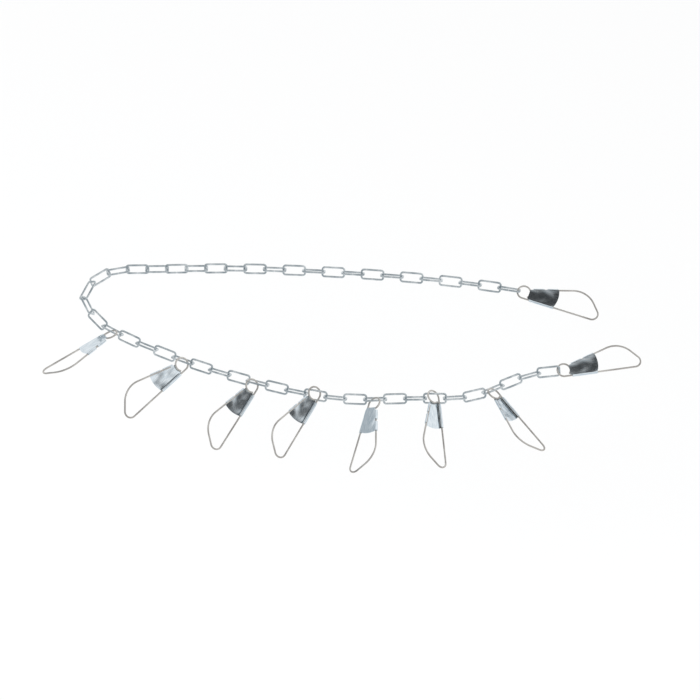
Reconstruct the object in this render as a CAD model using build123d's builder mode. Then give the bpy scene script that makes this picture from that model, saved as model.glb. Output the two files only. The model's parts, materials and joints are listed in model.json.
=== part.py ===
from build123d import *
import math
import os

# Chain links, bent from round wire (millimetres, outside sizes)
LINK_COUNT = 49
LINK_WIRE = 2.0
LINK_LENGTH = 24.0
LINK_WIDTH = 11.6
LINK_BEND = 2.4  # centre-line radius of the four corners
LINK_SEAM = 0.2  # gap where the wire's two ends are butted, halfway along one side
LINK_PLAY = 0.2  # gap between the bars of two links pulled straight
LINK_LEAN = 45.0  # degrees that links lean, by turns to either side, on a table

# Snap wire, from the eye along the fixed leg, round the bow and back along the free leg
SNAP_WIRE = 1.8
EYE_RADIUS = 6.6  # centre line
EYE_START = -40.0  # degrees round the eye where the wire begins, short of the fixed leg
SNAP_REACH = 78.0  # from the eye's centre to the centre line at the tip
TIP_BEND = 6.0  # centre-line radius at the tip
TIP_TURN = 131.0  # degrees that the wire turns at the tip
HEEL_BEND = 10.0  # centre-line radius where the bow turns back into the free leg
GATE_SLOPE = 18.0  # degrees between the free leg and the fixed leg
LEG_SPREAD = 19.6  # between the two legs at the clasp's mouth
GATE_TUCK = 23.0  # length of the free leg that lies in the clasp
PIVOT_PLAY = 0.1  # gap of the ball and cup at the spring bend

# Clasp, folded from sheet
CLASP_SHEET = 0.6
CLASP_START = 5.5  # from the eye's centre to the clasp's narrow end
CLASP_MOUTH = 33.0  # from the eye's centre to the clasp's wide end
CLASP_BULGE = 2.0  # rise of the rounded edge at the wide end
CLASP_PLAY = 0.2  # gap between the sheet and the wire
CRIMP_START = 7.5  # from the eye's centre to the near end of the crimp on the fixed leg
CRIMP_WRAP = 240.0  # degrees that the sheet wraps the fixed leg
LIP_WRAP = 150.0  # degrees that the sheet wraps the free leg
LIP_LENGTH = 11.0  # each of the two lips that hold the free leg
LIP_NOTCH = 3.0  # between the two lips
LIP_INSET = 0.8  # from the clasp's wide end to the first lip

# The chain's route over the table, seen from above, from one end snap to the other
ROUTE = [
    (180, 87),
    (112, 98),
    (34, 106),
    (-44, 111),
    (-130, 113),
    (-200, 112),
    (-243, 104),
    (-259, 80),
    (-246, 54),
    (-204, 27),
    (-149, 3),
    (-70, -23),
    (9, -38),
    (80, -37),
    (132, -34),
    (176, -15),
    (212, -6),
]
TWIST = [(1, 0.0), (11, 0.0), (19, -25.0), (26, 0.0), (LINK_COUNT, 0.0)]  # link, degrees

# Snaps on the links' sides: name, the link, how far along its side, bearing in degrees, and the
# face that lies up (1 for the clasp's flat web, -1 for its lips)
FISH_SNAPS = [
    ("snap_1", 26, 4.0, 213.0, 1),
    ("snap_2", 30, 3.0, 226.0, -1),
    ("snap_3", 34, -3.0, 241.0, -1),
    ("snap_4", 37, 0.0, 242.0, -1),
    ("snap_5", 40, 0.0, 255.0, 1),
    ("snap_6", 43, -2.0, 275.0, -1),
    ("snap_7", 46, -3.0, 307.0, -1),
]
END_SNAPS = [("end_snap_1", 1, -19.0, 1), ("end_snap_2", LINK_COUNT, 10.0, 1)]
FISH_SNAP_ROLL = 36.0  # degrees that a snap on a link's side is tipped, free leg up
END_SNAP_ROLL = 8.0
SIDE_PERCH = 3.4  # from a link's side to the centre of the eye hung on it
END_PERCH = 4.5  # from a link's end bar to the centre of the eye hung on it

# Links that are single pieces of the chain; the others go in pairs
LONE_LINKS = [1, 8, 15, 22, 23, 24, 25, 26, 27, 30, 31, 34, 37, 40, 43, 46, LINK_COUNT]

UP = Vector(0, 0, 1)
LINK_SPAN = LINK_LENGTH - LINK_WIRE  # between the centre lines of the end bars
SIDE_SPAN = LINK_WIDTH - LINK_WIRE  # between the centre lines of the two sides
BAR_STEP = LINK_WIRE + LINK_PLAY  # between the centre lines of two hooked bars
PITCH = LINK_SPAN - BAR_STEP


def heading(degrees):
    """Unit vector in a flat frame at an angle from its X axis."""
    return Vector(math.cos(math.radians(degrees)), math.sin(math.radians(degrees)), 0)


def lean(number):
    """Angle of a link's bars from the table, seen along the chain."""
    for (first, low), (last, high) in zip(TWIST, TWIST[1:]):
        if number <= last:
            share = (number - first) / (last - first)
            break
    side = LINK_LEAN if number % 2 else -LINK_LEAN
    return math.radians(side + low + (high - low) * share)


def axis_height(number):
    """Height of a link's middle when its lower side touches the table."""
    return (SIDE_SPAN * abs(math.sin(lean(number))) + LINK_WIRE) / 2


def route_point(curve, length):
    """Point on the route, which runs straight on past its last point."""
    past = max(0.0, length - curve.length)
    spot = curve.position_at(min(length, curve.length), position_mode=PositionMode.LENGTH)
    return spot + (curve % 1) * past


def chain_planes():
    """Plane of each link by number: X along the chain, Y along its bars."""
    with BuildLine():
        route = Spline(*ROUTE)
    planes = {}
    hook = route_point(route, 0) + UP * axis_height(1)
    bar = None
    for number in range(1, LINK_COUNT + 1):
        rest = max(axis_height(number), axis_height(min(number + 1, LINK_COUNT)))
        aim = route_point(route, number * PITCH) + UP * rest
        along = (aim - hook).normalized()
        left = UP.cross(along).normalized()
        crosswise = left * math.cos(lean(number)) + along.cross(left) * math.sin(lean(number))
        near = hook
        if bar:
            apart = bar.cross(crosswise).normalized()
            near = hook - apart * math.copysign(BAR_STEP, apart.dot(along))
        planes[number] = Plane(near + along * (LINK_SPAN / 2), along, along.cross(crosswise))
        hook = near + along * LINK_SPAN
        bar = crosswise
    return planes


def snap_plane(perch, distance, bearing, roll, face):
    """Plane of a snap that lies with its tip on the table: X from the eye to the tip."""
    low_side = EYE_RADIUS * math.sin(math.radians(roll))
    at_tip = (perch.Z - low_side - SNAP_WIRE / 2) / (SNAP_REACH - TIP_BEND + distance)
    at_clasp = (perch.Z - low_side - FOLD_OUTSIDE) / (CLASP_MOUTH + distance)
    dip = math.asin(min(at_tip, at_clasp))
    along = heading(bearing) * math.cos(dip) - UP * math.sin(dip)
    left = UP.cross(along).normalized()
    upright = along.cross(left)
    free_side = left * (face * math.cos(math.radians(roll))) + upright * math.sin(math.radians(roll))
    return Plane(perch + along * distance, along, along.cross(free_side))


def crossing(first, first_degrees, second, second_degrees):
    """Where two lines, each through a point at an angle, meet."""
    way, other = heading(first_degrees), heading(second_degrees)
    return first + way * ((second - first).cross(other).Z / way.cross(other).Z)


# Corners of the snap's centre line, in its own plane with the eye's centre at the origin
FOLD_INSIDE = SNAP_WIRE / 2 + CLASP_PLAY
FOLD_OUTSIDE = FOLD_INSIDE + CLASP_SHEET
TIP_SETBACK = TIP_BEND * math.tan(math.radians(TIP_TURN / 2))
TIP_CORNER = Vector(SNAP_REACH - TIP_BEND + TIP_SETBACK, -EYE_RADIUS)
PIVOT = TIP_CORNER + heading(TIP_TURN) * TIP_SETBACK
MOUTH = Vector(CLASP_MOUTH, LEG_SPREAD - EYE_RADIUS)
HEEL = crossing(TIP_CORNER, TIP_TURN, MOUTH, GATE_SLOPE)
GATE_END = MOUTH - heading(GATE_SLOPE) * GATE_TUCK


def make_links(planes):
    """One or two links, each a wire bent round until its ends meet."""
    side, end, seam = SIDE_SPAN / 2, LINK_SPAN / 2, LINK_SEAM / 2
    with BuildPart() as links:
        for plane in planes:
            with BuildLine(plane) as centre_line:
                FilletPolyline(
                    (seam, side),
                    (end, side),
                    (end, -side),
                    (-end, -side),
                    (-end, side),
                    (-seam, side),
                    radius=LINK_BEND,
                )
            with BuildSketch(Plane(centre_line.line @ 0, z_dir=centre_line.line % 0)):
                Circle(LINK_WIRE / 2)
            sweep(path=centre_line.line)
    return links


def make_bow(plane):
    """The snap wire's eye, fixed leg and tip, ending in the ball of the spring bend."""
    with BuildPart() as bow:
        with BuildLine(plane) as centre_line:
            CenterArc((0, 0), EYE_RADIUS, EYE_START, 270 - EYE_START)
            Line((0, -EYE_RADIUS), (SNAP_REACH - TIP_BEND, -EYE_RADIUS))
            JernArc((SNAP_REACH - TIP_BEND, -EYE_RADIUS), (1, 0), TIP_BEND, TIP_TURN)
        with BuildSketch(Plane(centre_line.line @ 0, z_dir=centre_line.line % 0)):
            Circle(SNAP_WIRE / 2)
        sweep(path=centre_line.line)
        with Locations(Plane(centre_line.line @ 1, z_dir=centre_line.line % 1)):
            Sphere(SNAP_WIRE / 2, arc_size1=0, align=(Align.CENTER, Align.CENTER, Align.MIN))
    return bow


def make_gate(plane):
    """The snap wire's free half, from the cup of the spring bend to its end in the clasp."""
    with BuildPart() as gate:
        with BuildLine(plane) as centre_line:
            corners = [plane.from_local_coords(corner) for corner in (PIVOT, HEEL, GATE_END)]
            FilletPolyline(*corners, radius=HEEL_BEND)
        with BuildSketch(Plane(centre_line.line @ 0, z_dir=centre_line.line % 0)):
            Circle(SNAP_WIRE / 2)
        sweep(path=centre_line.line)
        with Locations(plane.from_local_coords(PIVOT)):
            Sphere(SNAP_WIRE / 2 + PIVOT_PLAY, mode=Mode.SUBTRACT)
    return gate


def make_clasp(plane):
    """The clasp: a flat web, one edge crimped on the fixed leg, lips along the free leg."""
    narrow = MOUTH - heading(GATE_SLOPE) * ((CLASP_MOUTH - CLASP_START) / heading(GATE_SLOPE).X)
    bulge = Vector(CLASP_MOUTH + CLASP_BULGE, MOUTH.Y - LEG_SPREAD / 2)
    fold = (FOLD_INSIDE + FOLD_OUTSIDE) / 2
    crimp_spot = plane.from_local_coords(Vector(CRIMP_START, -EYE_RADIUS))
    to_eye = (plane.from_local_coords(GATE_END) - plane.from_local_coords(MOUTH)).normalized()
    with BuildPart() as clasp:
        with BuildSketch(plane.offset(FOLD_INSIDE)):
            with BuildLine():
                Polyline(MOUTH, narrow, (CLASP_START, -EYE_RADIUS), (CLASP_MOUTH, -EYE_RADIUS))
                ThreePointArc((CLASP_MOUTH, -EYE_RADIUS), bulge, MOUTH)
            make_face()
        extrude(amount=CLASP_SHEET)
        with BuildSketch(Plane(crimp_spot, plane.y_dir * -1, plane.x_dir)):
            with BuildLine():
                CenterArc((0, 0), fold, -90, CRIMP_WRAP)
            trace(line_width=CLASP_SHEET)
        extrude(amount=CLASP_MOUTH - CRIMP_START)
        for inset in (LIP_INSET, LIP_INSET + LIP_LENGTH + LIP_NOTCH):
            lip_spot = plane.from_local_coords(MOUTH) + to_eye * inset
            with BuildSketch(Plane(lip_spot, to_eye.cross(plane.z_dir), to_eye)):
                with BuildLine():
                    CenterArc((0, 0), fold, -90, LIP_WRAP)
                trace(line_width=CLASP_SHEET)
            extrude(amount=LIP_LENGTH)
    return clasp


def link_groups():
    """Node name and link numbers of each piece of chain."""
    groups = {}
    number = 1
    while number <= LINK_COUNT:
        if number in LONE_LINKS or number + 1 in LONE_LINKS:
            groups[f"link_{number:02d}"] = [number]
        else:
            groups[f"links_{number:02d}_{number + 1:02d}"] = [number, number + 1]
        number += len(list(groups.values())[-1])
    return groups


def snap_planes(chain):
    """Plane of each snap by name, hung on a link's upper side or on the chain's two ends."""
    planes = {}
    for name, number, shift, bearing, face in FISH_SNAPS:
        link = chain[number]
        upper = math.copysign(SIDE_SPAN / 2, link.y_dir.Z)
        perch = link.from_local_coords(Vector(shift, upper))
        planes[name] = snap_plane(perch, SIDE_PERCH, bearing, FISH_SNAP_ROLL, face)
    for name, number, bearing, face in END_SNAPS:
        outward = -LINK_SPAN / 2 if number == 1 else LINK_SPAN / 2
        perch = chain[number].from_local_coords(Vector(outward, 0))
        planes[name] = snap_plane(perch, END_PERCH, bearing, END_SNAP_ROLL, face)
    return planes


def save(name, piece):
    piece.part.label = name
    export_step(piece.part, f"parts/{name}.step")


os.makedirs("parts", exist_ok=True)
CHAIN = chain_planes()
for group, numbers in link_groups().items():
    save(group, make_links([CHAIN[number] for number in numbers]))
for snap, place in snap_planes(CHAIN).items():
    save(f"{snap}_bow", make_bow(place))
    save(f"{snap}_gate", make_gate(place))
    save(f"{snap}_clasp", make_clasp(place))
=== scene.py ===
"""Looks of the chain fish stringer: plated wire and sheet on a white table."""

import json
import math
from functools import partial

import bpy
import numpy as np
from mathutils import Matrix, Vector


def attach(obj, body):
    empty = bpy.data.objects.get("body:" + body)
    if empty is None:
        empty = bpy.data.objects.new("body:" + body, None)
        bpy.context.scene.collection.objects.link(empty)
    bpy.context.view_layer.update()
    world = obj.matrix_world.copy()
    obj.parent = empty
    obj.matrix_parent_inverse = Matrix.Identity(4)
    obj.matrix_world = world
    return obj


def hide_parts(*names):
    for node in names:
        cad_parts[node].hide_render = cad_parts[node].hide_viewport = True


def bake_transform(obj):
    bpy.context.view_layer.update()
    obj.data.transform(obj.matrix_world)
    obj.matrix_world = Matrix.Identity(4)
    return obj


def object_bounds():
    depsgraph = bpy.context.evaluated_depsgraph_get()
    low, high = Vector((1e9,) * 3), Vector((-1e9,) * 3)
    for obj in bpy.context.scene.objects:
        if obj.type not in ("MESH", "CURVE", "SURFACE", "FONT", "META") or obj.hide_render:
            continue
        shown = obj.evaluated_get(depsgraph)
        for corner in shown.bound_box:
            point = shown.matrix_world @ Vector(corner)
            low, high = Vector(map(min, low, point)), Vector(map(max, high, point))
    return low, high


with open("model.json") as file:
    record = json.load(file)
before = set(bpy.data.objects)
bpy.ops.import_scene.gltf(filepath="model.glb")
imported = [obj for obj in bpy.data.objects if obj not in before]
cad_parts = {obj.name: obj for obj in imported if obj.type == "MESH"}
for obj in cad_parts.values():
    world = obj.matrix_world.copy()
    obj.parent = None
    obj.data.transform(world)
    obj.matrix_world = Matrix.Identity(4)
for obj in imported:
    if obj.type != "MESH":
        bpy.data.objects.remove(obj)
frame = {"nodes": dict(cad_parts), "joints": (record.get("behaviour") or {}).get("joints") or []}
CAD_BOX = [list(corner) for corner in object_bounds()]

# Snap wire in its own plane, in metres: X from the eye to the tip, Y to the free leg
WIRE_RADIUS = 0.0009
EYE_RADIUS = 0.0066
EYE_START = math.radians(-40)
EYE_END = 1.5 * math.pi
REACH = 0.078
TIP_BEND = 0.006
TIP_TURN = math.radians(131)
HEEL_BEND = 0.022
GATE_SLOPE = math.radians(18)
MOUTH = Vector((0.033, 0.013, 0))  # on the free leg, at the clasp's wide end
GATE_TUCK = 0.023  # length of the free leg that lies in the clasp
GATE_LIFT = math.radians(45)  # tilt of the free leg's hinge out of the snap's plane
FLEX_REACH = 0.006  # length of wire either side of the hinge, between the fixed and the free wire

# Fineness of the wires
WIRE_SIDES = 20
STEP = 0.0008  # between the rings of a bent wire
LONG_STEP = 4 * STEP  # between the rings of a straight wire
FEWEST_BENT = 4
FEWEST_STRAIGHT = 2
DOME_HEIGHT = 0.00054  # of the wire's rounded ends
DOME_ANGLES = [math.radians(angle) for angle in (15, 30, 45, 60, 75)]

# Surfaces, with heights in metres
GRAIN = "grain"  # map that follows a clasp's length
GRAIN_HEIGHT = 0.0001
GRAIN_RANGE = (0.3, 0.7)  # of the noise, from the glossiest to the dullest metal
TONE_STOPS = (0.36, 0.66)  # of the noise, where the two tones of a metal lie
SWELL_HEIGHT = 0.0012
SHARP_EDGE = math.radians(35)

# Table, in metres
TABLE_SIZE = 40.0
TABLE_DROP = 0.30  # below the object, clear of the chain where a joint lets it hang
TABLE_COLOUR = (0.9, 0.9, 0.9, 1)
TABLE_ROUGHNESS = 0.9
TABLE_GLOW = 0.75  # share of the table's white that takes no shadow

# Studio that the metal mirrors: paler towards one way, with openings as way, spread in degrees and shade
ROOM_WAY = (0.6, 0.2, 0.77)
ROOM_TONES = (
    (0.00, (0.52, 0.55, 0.57)),
    (0.35, (0.72, 0.74, 0.75)),
    (0.65, (0.95, 0.95, 0.96)),
    (0.80, (1.00, 1.00, 1.00)),
)
OPENINGS = (
    ((0.04, 0.36, 0.93), (4.0, 20.0), 0.05),
    ((0.805, -0.135, 0.575), (5.0, 14.0), 0.08),
)
BACKDROP_EDGE = (0.04, 0.12)  # sines of the heights at which the backdrop gives way to the studio

# Lamps that point at the origin, as name, place, size and power
LAMPS = (
    ("key", (-1.2, -0.6, 1.8), 0.9, 22),
    ("fill", (1.6, -0.9, 1.2), 1.2, 9),
)

# Camera far off with a long lens, so that one photo pixel is one millimetre at the object
VIEW_HEIGHT = math.radians(60)
VIEW_DISTANCE = 4.0
VIEW_WIDTH = 0.700
VIEW_MIDDLE = Vector((0.009, 0.0208, 0.0))
SENSOR_WIDTH = 36.0

UP = (0, 0, 1)
SNAPS = [f"snap_{number}" for number in range(1, 8)] + ["end_snap_1", "end_snap_2"]
JOINTS = {joint["name"]: joint for joint in frame["joints"]}


def heading(angle):
    """Unit vector at an angle in the snap's plane."""
    return Vector((math.cos(angle), math.sin(angle), 0))


def arc(centre, radius, start, end):
    """Points round part of a circle, both ends included."""
    count = max(FEWEST_BENT, int(abs(end - start) * radius / STEP))
    return [centre + heading(start + (end - start) * i / count) * radius for i in range(count + 1)]


def straight(start, end):
    """Points along a line, without its two ends."""
    count = max(FEWEST_STRAIGHT, int((end - start).length / LONG_STEP))
    return [start.lerp(end, i / count) for i in range(1, count)]


def meeting(first, first_angle, second, second_angle):
    """Where two lines, each through a point at an angle, cross."""
    way, other = heading(first_angle), heading(second_angle)
    return first + way * ((second - first).cross(other).z / way.cross(other).z)


# Corners of the snap wire's centre line, and the hinge of its free leg
TIP_SETBACK = TIP_BEND * math.tan(TIP_TURN / 2)
TIP_CORNER = Vector((REACH - TIP_BEND + TIP_SETBACK, -EYE_RADIUS, 0))
TIP_CENTRE = Vector((REACH - TIP_BEND, TIP_BEND - EYE_RADIUS, 0))
TIP_END = TIP_TURN - math.pi / 2
PIVOT = TIP_CORNER + heading(TIP_TURN) * TIP_SETBACK
FLEX_ANGLE = FLEX_REACH / TIP_BEND
FLEX_END = PIVOT + heading(TIP_TURN) * FLEX_REACH
HEEL = meeting(TIP_CORNER, TIP_TURN, MOUTH, GATE_SLOPE)
HEEL_TURN = math.pi + GATE_SLOPE - TIP_TURN
GATE_END = MOUTH - heading(GATE_SLOPE) * GATE_TUCK


def bow_line():
    """Eye, fixed leg and the first part of the tip."""
    line = arc(Vector((0, 0, 0)), EYE_RADIUS, EYE_START, EYE_END)
    line += straight(line[-1], Vector((TIP_CENTRE.x, -EYE_RADIUS, 0)))
    return line + arc(TIP_CENTRE, TIP_BEND, -math.pi / 2, TIP_END - FLEX_ANGLE)


def flex_line():
    """The short stretch of wire either side of the hinge, between the bow and the free leg."""
    line = arc(TIP_CENTRE, TIP_BEND, TIP_END - FLEX_ANGLE, TIP_END)
    count = int(FLEX_REACH / STEP)
    return line + [PIVOT.lerp(FLEX_END, i / count) for i in range(1, count + 1)]


def gate_line():
    """Rest of the bow, the soft corner and the free leg."""
    setback = HEEL_BEND * math.tan(HEEL_TURN / 2)
    first = HEEL - heading(TIP_TURN) * setback
    centre = first + heading(TIP_TURN + math.pi / 2) * HEEL_BEND
    corner = arc(centre, HEEL_BEND, TIP_END, TIP_END + HEEL_TURN)
    line = [FLEX_END] + straight(FLEX_END, corner[0]) + corner
    return line + straight(corner[-1], GATE_END) + [GATE_END]


def snap_matrix(name):
    """Where a snap's own plane lies, from the hinge of its free leg and its fixed wire."""
    joint = JOINTS[f"{name}_gate_flex"]
    axis = Vector(joint["axis"]).normalized()
    spread = np.array([v.co for v in frame["nodes"][f"{name}_bow"].data.vertices], float)
    _, _, ways = np.linalg.svd(spread - spread.mean(0), full_matrices=False)
    normal = Vector(ways[2])
    normal *= math.copysign(1, normal.dot(axis))
    outward = (normal * math.sin(GATE_LIFT) - axis).normalized()
    along = Matrix.Rotation(-GATE_SLOPE - math.pi / 2, 3, normal) @ outward
    turned = Matrix((along, normal.cross(along), normal)).transposed()
    place = turned.to_4x4()
    place.translation = Vector(joint["pos_m"]) - turned @ PIVOT
    return place


def stations_along(line, round_start, round_end):
    """Point, way and radius of each ring of a wire, each end either domed or left square."""
    tangents = [(b - a).normalized() for a, b in zip(line, line[1:])]
    ways = [tangents[0]] + [(a + b).normalized() for a, b in zip(tangents, tangents[1:])] + [tangents[-1]]
    stations = [(point, way, WIRE_RADIUS) for point, way in zip(line, ways)]
    dome = [(math.cos(t) * WIRE_RADIUS, math.sin(t) * DOME_HEIGHT) for t in DOME_ANGLES]
    if round_start:
        tip = [(line[0] - ways[0] * rise, ways[0], radius) for radius, rise in dome]
        stations = tip[::-1] + stations
    if round_end:
        stations += [(line[-1] + ways[-1] * rise, ways[-1], radius) for radius, rise in dome]
    return stations


def tube(stations):
    """Corners and faces of a closed tube with a ring at each station."""
    verts = []
    for point, way, radius in stations:
        side = Vector((-way.y, way.x, 0))
        for k in range(WIRE_SIDES):
            angle = 2 * math.pi * k / WIRE_SIDES
            rise = Vector((0, 0, radius * math.sin(angle)))
            verts.append(point + side * (radius * math.cos(angle)) + rise)
    faces = []
    for ring in range(len(stations) - 1):
        for k in range(WIRE_SIDES):
            a, b = ring * WIRE_SIDES + k, ring * WIRE_SIDES + (k + 1) % WIRE_SIDES
            faces.append((a, b, b + WIRE_SIDES, a + WIRE_SIDES))
    last = len(verts) - WIRE_SIDES
    faces.append(tuple(range(WIRE_SIDES))[::-1])
    faces.append(tuple(range(last, len(verts))))
    return verts, faces


def smooth(mesh):
    """Shades a mesh smooth but for its creases."""
    mesh.polygons.foreach_set("use_smooth", [True] * len(mesh.polygons))
    mesh.set_sharp_from_angle(angle=SHARP_EDGE)


def wire(name, line, place, round_start=False, round_end=False):
    """A round wire along a flat line, put where a snap's plane lies."""
    verts, faces = tube(stations_along(line, round_start, round_end))
    mesh = bpy.data.meshes.new(name)
    mesh.from_pydata([place @ v for v in verts], [], faces)
    smooth(mesh)
    piece = bpy.data.objects.new(name, mesh)
    bpy.context.scene.collection.objects.link(piece)
    return piece


def noise_at(nodes, links, where, scale, detail):
    """Noise read at the place that a socket gives."""
    noise = nodes.new("ShaderNodeTexNoise")
    noise.inputs["Scale"].default_value = scale
    noise.inputs["Detail"].default_value = detail
    links.new(where, noise.inputs["Vector"])
    return noise.outputs["Fac"]


def streaked(nodes, links, stretch, scale, detail):
    """Noise drawn out along a piece, from the map that follows its length."""
    where = nodes.new("ShaderNodeUVMap")
    where.uv_map = GRAIN
    scaled = nodes.new("ShaderNodeMapping")
    scaled.inputs["Scale"].default_value = stretch
    links.new(where.outputs["UV"], scaled.inputs["Vector"])
    return noise_at(nodes, links, scaled.outputs["Vector"], scale, detail)


def blotched(nodes, links, scale, detail):
    """Noise even in all directions."""
    where = nodes.new("ShaderNodeTexCoord")
    return noise_at(nodes, links, where.outputs["Object"], scale, detail)


def ramped(nodes, links, value, tones):
    """Colour that follows a value through rows of position and colour."""
    ramp = nodes.new("ShaderNodeValToRGB")
    stops = ramp.color_ramp.elements
    stops.remove(stops[1])
    stops[0].position = tones[0][0]
    stops[0].color = (*tones[0][1], 1)
    for position, colour in tones[1:]:
        stops.new(position).color = (*colour, 1)
    links.new(value, ramp.inputs["Fac"])
    return ramp.outputs["Color"]


def ranged(nodes, links, value, before, after=(0.0, 1.0)):
    """Node that takes a value from one range to another."""
    node = nodes.new("ShaderNodeMapRange")
    for socket, number in zip(("From Min", "From Max", "To Min", "To Max"), (*before, *after)):
        node.inputs[socket].default_value = number
    links.new(value, node.inputs["Value"])
    return node


def raised(nodes, links, height, strength, distance):
    """Node that turns a surface as if it rose by a height."""
    node = nodes.new("ShaderNodeBump")
    node.inputs["Strength"].default_value = strength
    node.inputs["Distance"].default_value = distance
    links.new(height, node.inputs["Height"])
    return node


def worked_out(nodes, links, operation, *values):
    """Node that takes one or two values through an operation."""
    node = nodes.new("ShaderNodeMath")
    node.operation = operation
    for socket, value in zip(node.inputs, values):
        links.new(value, socket)
    return node


def mixed(nodes, links, share, first, second):
    """Shader between two others, by a share from 0 to 1."""
    mix = nodes.new("ShaderNodeMixShader")
    links.new(share, mix.inputs["Fac"])
    links.new(first, mix.inputs[1])
    links.new(second, mix.inputs[2])
    return mix.outputs["Shader"]


def plated(name, tones, roughness, drift, grain, grain_strength, swell=None):
    """Plated metal: colour that drifts between two tones, uneven gloss, fine grain and soft swells."""
    material = bpy.data.materials.new(name)
    material.use_nodes = True
    nodes, links = material.node_tree.nodes, material.node_tree.links
    shader = nodes["Principled BSDF"]
    shader.inputs["Metallic"].default_value = 1.0
    colour = ramped(nodes, links, drift(nodes, links), tuple(zip(TONE_STOPS, tones)))
    links.new(colour, shader.inputs["Base Color"])
    fine = grain(nodes, links)
    gloss = ranged(nodes, links, fine, GRAIN_RANGE, roughness)
    links.new(gloss.outputs["Result"], shader.inputs["Roughness"])
    relief = raised(nodes, links, fine, grain_strength, GRAIN_HEIGHT)
    links.new(relief.outputs["Normal"], shader.inputs["Normal"])
    if swell:
        waves = raised(nodes, links, swell(nodes, links), 1.0, SWELL_HEIGHT)
        links.new(waves.outputs["Normal"], relief.inputs["Normal"])
    return material


ZINC = plated(
    "zinc_chain",
    tones=((0.38, 0.43, 0.46), (0.68, 0.72, 0.74)),
    roughness=(0.14, 0.40),
    drift=partial(blotched, scale=110.0, detail=4),
    grain=partial(blotched, scale=1500.0, detail=5),
    grain_strength=0.3,
)
SPRING = plated(
    "spring_wire",
    tones=((0.42, 0.40, 0.38), (0.64, 0.62, 0.59)),
    roughness=(0.12, 0.34),
    drift=partial(blotched, scale=70.0, detail=4),
    grain=partial(blotched, scale=1800.0, detail=4),
    grain_strength=0.2,
)
SHEET = plated(
    "clasp_plate",
    tones=((0.62, 0.70, 0.76), (0.80, 0.86, 0.90)),
    roughness=(0.05, 0.20),
    drift=partial(streaked, stretch=(1.0, 5.0, 1.0), scale=120.0, detail=3),
    grain=partial(streaked, stretch=(1.0, 14.0, 1.0), scale=260.0, detail=6),
    grain_strength=0.12,
    swell=partial(streaked, stretch=(1.0, 1.6, 1.0), scale=42.0, detail=1),
)


def lay_grain(piece, place):
    """Maps a clasp in metres, along the snap and across it."""
    back = place.inverted()
    layer = piece.data.uv_layers.new(name=GRAIN)
    for loop in piece.data.loops:
        spot = back @ piece.data.vertices[loop.vertex_index].co
        layer.data[loop.index].uv = (spot.x, spot.y)


def dress(node, material):
    """Gives a CAD node its material."""
    piece = frame["nodes"][node]
    piece.data.materials.clear()
    piece.data.materials.append(material)
    smooth(piece.data)
    return piece


def make_snap(snap):
    """Dresses a snap's clasp and puts one unbroken wire in place of its two half wires."""
    place = snap_matrix(snap)
    lay_grain(dress(f"{snap}_clasp", SHEET), place)
    bends = flex_line()
    bow = wire(f"{snap}_fixed_wire", bow_line(), place, round_start=True)
    flex = wire(f"{snap}_flex_wire", bends, place)
    free = wire(f"{snap}_free_wire", gate_line(), place, round_end=True)
    for piece in (bow, flex, free):
        piece.data.materials.append(SPRING)
    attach(bow, snap)
    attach(free, f"{snap}_gate")
    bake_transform(flex)
    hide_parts(f"{snap}_bow")
    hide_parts(f"{snap}_gate")


def white_table(level):
    """Pale table that keeps a soft shadow and is otherwise as white as the backdrop."""
    bpy.ops.mesh.primitive_plane_add(size=TABLE_SIZE, location=(0, 0, level))
    table = bpy.context.object
    table.name = "table"
    material = bpy.data.materials.new("table_white")
    material.use_nodes = True
    nodes, links = material.node_tree.nodes, material.node_tree.links
    shader = nodes["Principled BSDF"]
    shader.inputs["Base Color"].default_value = TABLE_COLOUR
    shader.inputs["Roughness"].default_value = TABLE_ROUGHNESS
    glow = nodes.new("ShaderNodeEmission")
    glow.inputs["Strength"].default_value = 1.0
    path = nodes.new("ShaderNodeLightPath")
    seen = path.outputs["Is Camera Ray"]
    for ray in ("Is Glossy Ray", "Is Transmission Ray"):
        seen = worked_out(nodes, links, "MAXIMUM", seen, path.outputs[ray]).outputs[0]
    share = worked_out(nodes, links, "MULTIPLY", seen)
    share.inputs[1].default_value = TABLE_GLOW
    surface = mixed(nodes, links, share.outputs[0], shader.outputs["BSDF"], glow.outputs["Emission"])
    links.new(surface, nodes["Material Output"].inputs["Surface"])
    table.data.materials.append(material)


def facing(nodes, links, way):
    """Cosine of the angle between each direction of the studio and one way."""
    where = nodes.new("ShaderNodeTexCoord")
    cosine = nodes.new("ShaderNodeVectorMath")
    cosine.operation = "DOT_PRODUCT"
    cosine.inputs[1].default_value = Vector(way).normalized()
    links.new(where.outputs["Generated"], cosine.inputs[0])
    return cosine.outputs["Value"]


def opening(nodes, links, way, spread, shade):
    """Level of light that falls to a shade inside a soft-edged opening of the studio."""
    inner, outer = (math.cos(math.radians(angle)) for angle in spread)
    edge = ranged(nodes, links, facing(nodes, links, way), (outer, inner), (1.0, shade))
    edge.interpolation_type = "SMOOTHSTEP"
    return edge.outputs["Result"]


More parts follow.
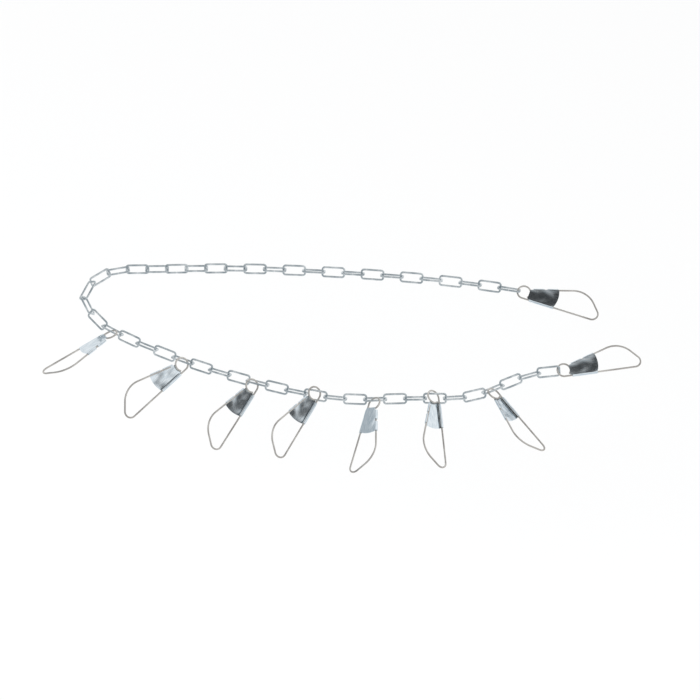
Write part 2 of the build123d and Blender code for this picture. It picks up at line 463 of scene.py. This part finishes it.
def studio_world():
    """White backdrop up to the horizon, and a pale studio with dark openings above it."""
    world = bpy.data.worlds.new("studio")
    bpy.context.scene.world = world
    world.use_nodes = True
    nodes, links = world.node_tree.nodes, world.node_tree.links
    nodes.clear()
    out = nodes.new("ShaderNodeOutputWorld")
    white = nodes.new("ShaderNodeBackground")
    white.inputs["Color"].default_value = (1, 1, 1, 1)
    room = nodes.new("ShaderNodeBackground")
    tone = ramped(nodes, links, facing(nodes, links, ROOM_WAY), ROOM_TONES)
    links.new(tone, room.inputs["Color"])
    levels = [opening(nodes, links, *row) for row in OPENINGS]
    level = worked_out(nodes, links, "MULTIPLY", *levels)
    links.new(level.outputs[0], room.inputs["Strength"])
    rise = ranged(nodes, links, facing(nodes, links, UP), BACKDROP_EDGE)
    backgrounds = (white.outputs["Background"], room.outputs["Background"])
    surface = mixed(nodes, links, rise.outputs["Result"], *backgrounds)
    links.new(surface, out.inputs["Surface"])


def hang(name, data, spot, way):
    """Puts a lamp or a camera at a spot, looking one way."""
    holder = bpy.data.objects.new(name, data)
    holder.location = spot
    holder.rotation_euler = way.to_track_quat("-Z", "Y").to_euler()
    bpy.context.scene.collection.objects.link(holder)
    return holder


def soft_lamp(name, spot, size, power):
    """Square lamp that lights the object but isn't mirrored in it."""
    lamp = bpy.data.lights.new(name, "AREA")
    lamp.size = size
    lamp.energy = power
    hang(name, lamp, spot, -Vector(spot)).visible_glossy = False


def photo_camera():
    """Camera that sees what the photo shows."""
    camera = bpy.data.cameras.new("camera")
    camera.sensor_width = SENSOR_WIDTH
    camera.lens = SENSOR_WIDTH * VIEW_DISTANCE / VIEW_WIDTH
    offset = Vector((0, -math.cos(VIEW_HEIGHT), math.sin(VIEW_HEIGHT))) * VIEW_DISTANCE
    bpy.context.scene.camera = hang("camera", camera, VIEW_MIDDLE + offset, -offset)


for node in frame["nodes"]:
    if node.startswith("link"):
        dress(node, ZINC)
for snap in SNAPS:
    make_snap(snap)

white_table(CAD_BOX[0][2] - TABLE_DROP)
studio_world()
for lamp in LAMPS:
    soft_lamp(*lamp)
photo_camera()
bpy.context.scene.view_settings.view_transform = "Standard"
